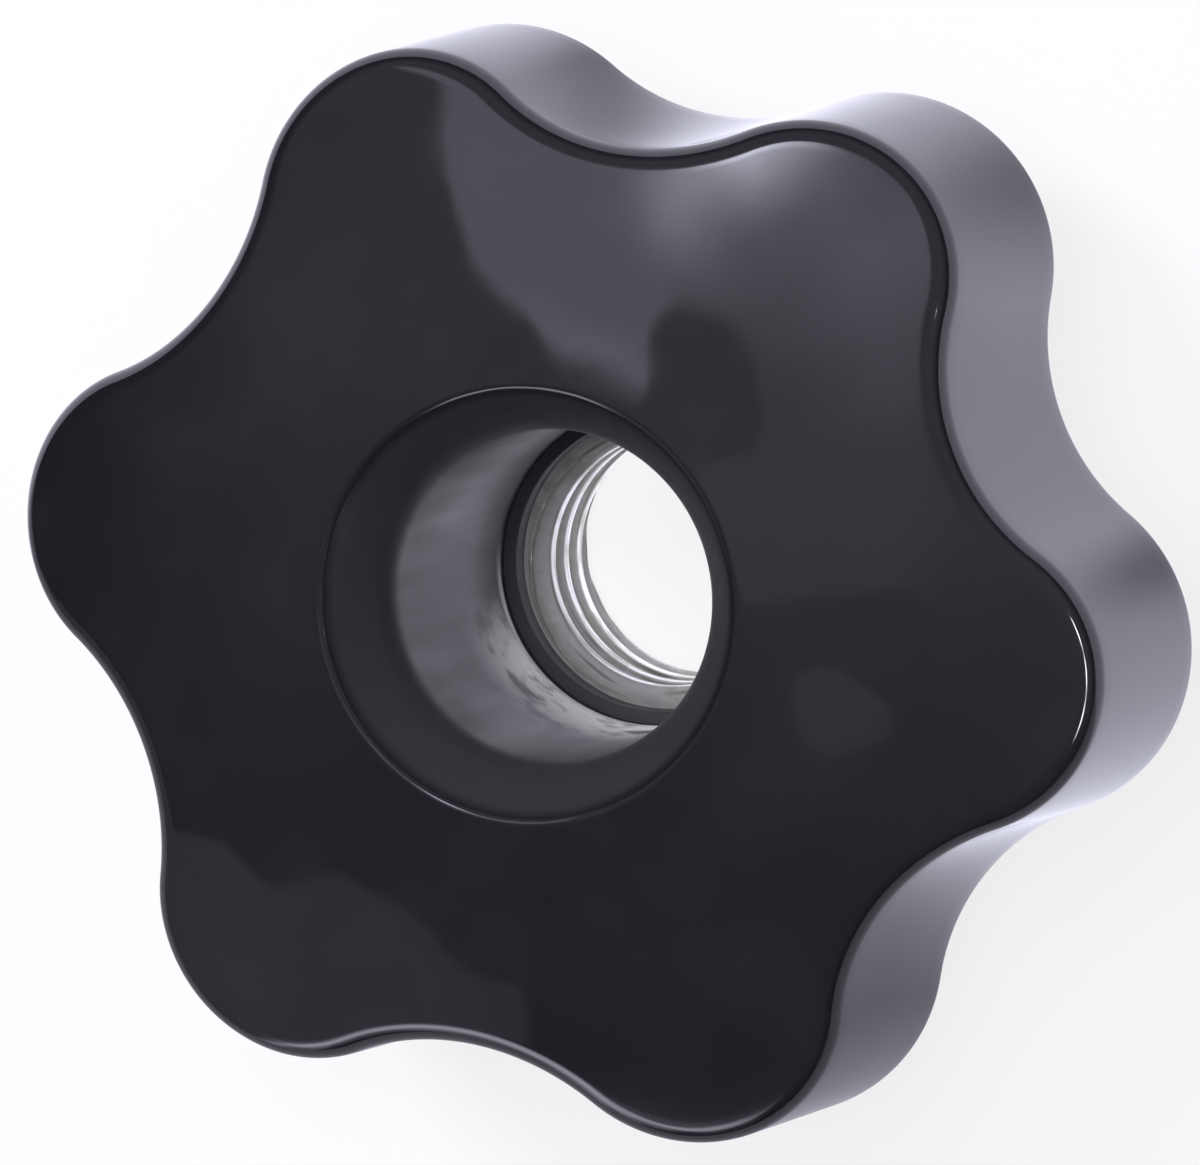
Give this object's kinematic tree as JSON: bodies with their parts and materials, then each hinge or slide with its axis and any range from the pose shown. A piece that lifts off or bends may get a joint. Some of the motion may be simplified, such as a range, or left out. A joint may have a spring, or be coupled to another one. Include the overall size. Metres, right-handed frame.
{
  "type": "star knob",
  "caption": "Black lobed star knob, domed in front and open right through, with a counterbore and a threaded steel insert moulded into its hub.",
  "frame": {"origin": "centre of the seat: the steel insert's rear face, on the bore axis", "axes": "+Z along the bore, from the seat towards the domed front; +X through the tip of one lobe"},
  "size_m": [0.0618, 0.056, 0.0326],
  "materials": {
    "phenolic": "moulded gloss, near black",
    "steel": "bright turned steel, lightly oiled"
  },
  "bodies": {
    "root": {"knob_body": "phenolic", "threaded_insert": "steel"}
  },
  "joints": []
}
